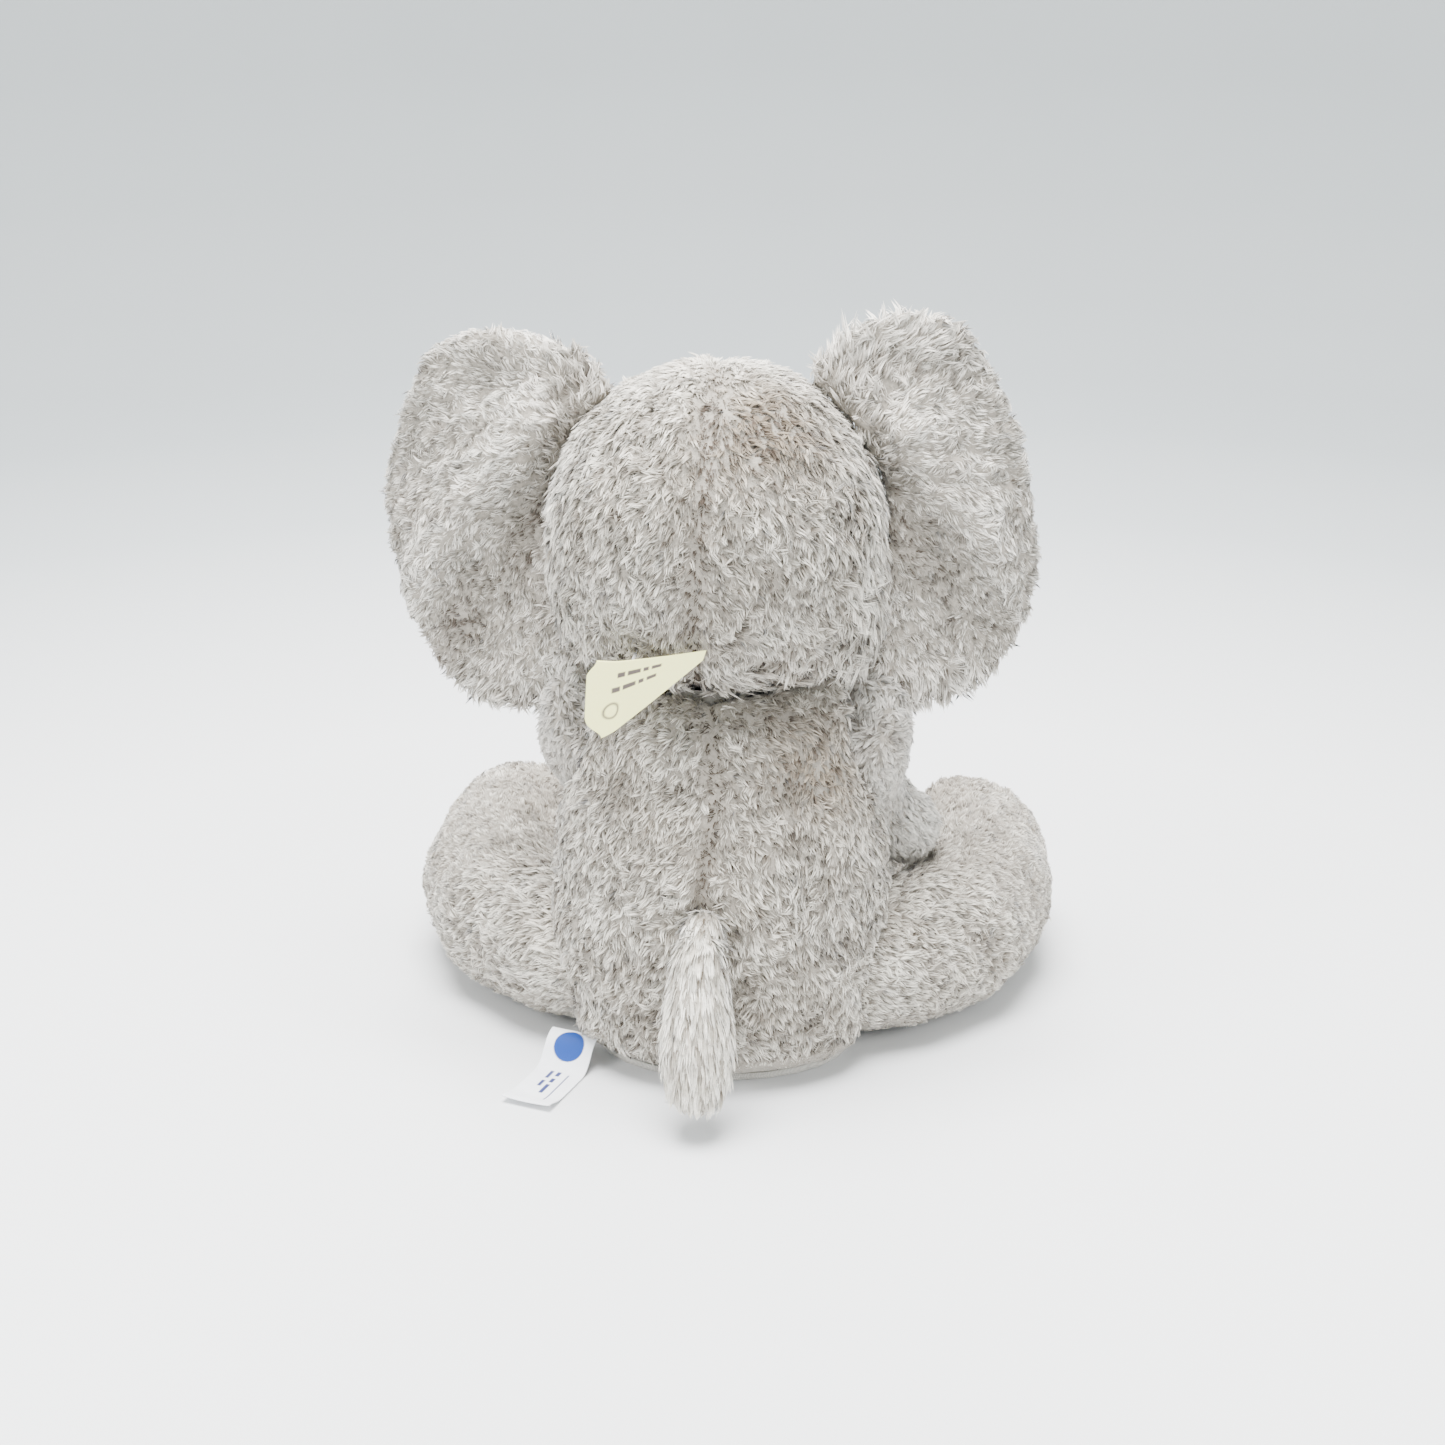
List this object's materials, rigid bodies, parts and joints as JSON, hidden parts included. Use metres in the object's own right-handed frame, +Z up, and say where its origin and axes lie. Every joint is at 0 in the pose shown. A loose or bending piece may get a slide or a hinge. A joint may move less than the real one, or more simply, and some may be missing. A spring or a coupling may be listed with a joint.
{
  "type": "stuffed elephant",
  "caption": "Sitting plush elephant with floppy ears, a hanging tail, curled trunk and splayed legs, a soft toy that sits on a flat seat panel.",
  "frame": {"origin": "middle of the underside of the flat seat panel, on the surface the toy sits on", "axes": "+Z up, the animal faces -Y, its own left side is +X"},
  "size_m": [0.2235, 0.1899, 0.2428],
  "materials": {
    "plush": "long wavy pile, matt",
    "plush_short": "short brushed pile, matt",
    "plush_light": "long pale pile, matt",
    "ear_lining": "short velour, matt",
    "seat_fabric": "short tricot pile, matt",
    "sole_fabric": "short velour, matt",
    "binding_tape": "woven tape",
    "closure_tape": "woven touch-and-close tape",
    "fibrefill": "loose polyester fibre",
    "pouch_cloth": "plain woven",
    "eye_black": "polished",
    "washer_plastic": "moulded",
    "card": "smooth card",
    "label_satin": "satin ribbon"
  },
  "bodies": {
    "torso": {"torso_skin": "plush", "torso_stuffing": "fibrefill", "seat_pellet_pouch": "pouch_cloth", "base_panel": "seat_fabric", "base_binding": "binding_tape", "closure_hook_strip": "closure_tape", "closure_loop_strip": "closure_tape"},
    "neck": {"neck_pad": "fibrefill"},
    "head": {"head_skin": "plush", "head_stuffing": "fibrefill", "eye_left": "eye_black", "eye_right": "eye_black", "eye_washer_left": "washer_plastic", "eye_washer_right": "washer_plastic", "tag_pin": "washer_plastic"},
    "trunk": {"trunk_skin": "plush", "trunk_stuffing": "fibrefill"},
    "ear_left": {"ear_left_back": "plush_light", "ear_left_lining": "ear_lining"},
    "ear_right": {"ear_right_back": "plush_light", "ear_right_lining": "ear_lining"},
    "arm_left": {"arm_left_skin": "plush_short", "arm_left_stuffing": "fibrefill"},
    "arm_right": {"arm_right_skin": "plush_short", "arm_right_stuffing": "fibrefill"},
    "leg_left": {"leg_left_skin": "plush", "leg_left_stuffing": "fibrefill", "sole_left_pad": "sole_fabric"},
    "leg_right": {"leg_right_skin": "plush", "leg_right_stuffing": "fibrefill", "sole_right_pad": "sole_fabric"},
    "tail_root": {"tail_tab": "plush"},
    "tail": {"tail_skin": "plush_light"},
    "card": {"hang_card": "card"},
    "label": {"sewn_label": "label_satin"}
  },
  "joints": [
    {"name": "head_turn", "type": "hinge", "parent": "torso", "child": "neck", "pos_m": [0.002, -0.002, 0.1765], "axis": [0, 0, 1], "range_deg": [-25, 25], "stiffness_Nm_per_rad": 0.5},
    {"name": "head_nod", "type": "hinge", "parent": "neck", "child": "head", "pos_m": [0.002, -0.002, 0.1765], "axis": [1, 0, 0], "range_deg": [-10, 8], "stiffness_Nm_per_rad": 0.6},
    {"name": "trunk_lift", "type": "hinge", "parent": "head", "child": "trunk", "pos_m": [0.002, -0.043, 0.165], "axis": [-1, 0, 0], "range_deg": [0, 45], "stiffness_Nm_per_rad": 0.05},
    {"name": "ear_left_flap", "type": "hinge", "parent": "head", "child": "ear_left", "pos_m": [0.0545, -0.011, 0.1765], "axis": [0, 0, -1], "range_deg": [-10, 25], "stiffness_Nm_per_rad": 0.02},
    {"name": "ear_right_flap", "type": "hinge", "parent": "head", "child": "ear_right", "pos_m": [-0.0505, -0.011, 0.1765], "axis": [0, 0, 1], "range_deg": [-10, 25], "stiffness_Nm_per_rad": 0.02},
    {"name": "arm_left_raise", "type": "hinge", "parent": "torso", "child": "arm_left", "pos_m": [0.042, -0.006, 0.104], "axis": [-1, 0, 0], "range_deg": [0, 45], "stiffness_Nm_per_rad": 0.05},
    {"name": "arm_right_raise", "type": "hinge", "parent": "torso", "child": "arm_right", "pos_m": [-0.042, -0.006, 0.104], "axis": [-1, 0, 0], "range_deg": [0, 45], "stiffness_Nm_per_rad": 0.05},
    {"name": "leg_left_spread", "type": "hinge", "parent": "torso", "child": "leg_left", "pos_m": [0.035, -0.005, 0.0275], "axis": [0, 0, 1], "range_deg": [-8, 12], "stiffness_Nm_per_rad": 0.2},
    {"name": "leg_right_spread", "type": "hinge", "parent": "torso", "child": "leg_right", "pos_m": [-0.035, -0.005, 0.0275], "axis": [0, 0, -1], "range_deg": [-8, 12], "stiffness_Nm_per_rad": 0.2},
    {"name": "tail_lift", "type": "hinge", "parent": "torso", "child": "tail_root", "pos_m": [0.0015, 0.0455, 0.061], "axis": [1, 0, 0], "range_deg": [0, 60]},
    {"name": "tail_swing", "type": "hinge", "parent": "tail_root", "child": "tail", "pos_m": [0.0015, 0.0575, 0.057], "axis": [0, 1, 0], "range_deg": [-25, 25]},
    {"name": "card_swing", "type": "hinge", "parent": "head", "child": "card", "pos_m": [0.023, 0.0436, 0.146], "axis": [0, 1, 0], "range_deg": [-12, 12]},
    {"name": "label_lift", "type": "hinge", "parent": "torso", "child": "label", "pos_m": [0.047, 0.022, 0.0066], "axis": [0.9536, -0.3011, 0], "range_deg": [0, 60]}
  ]
}
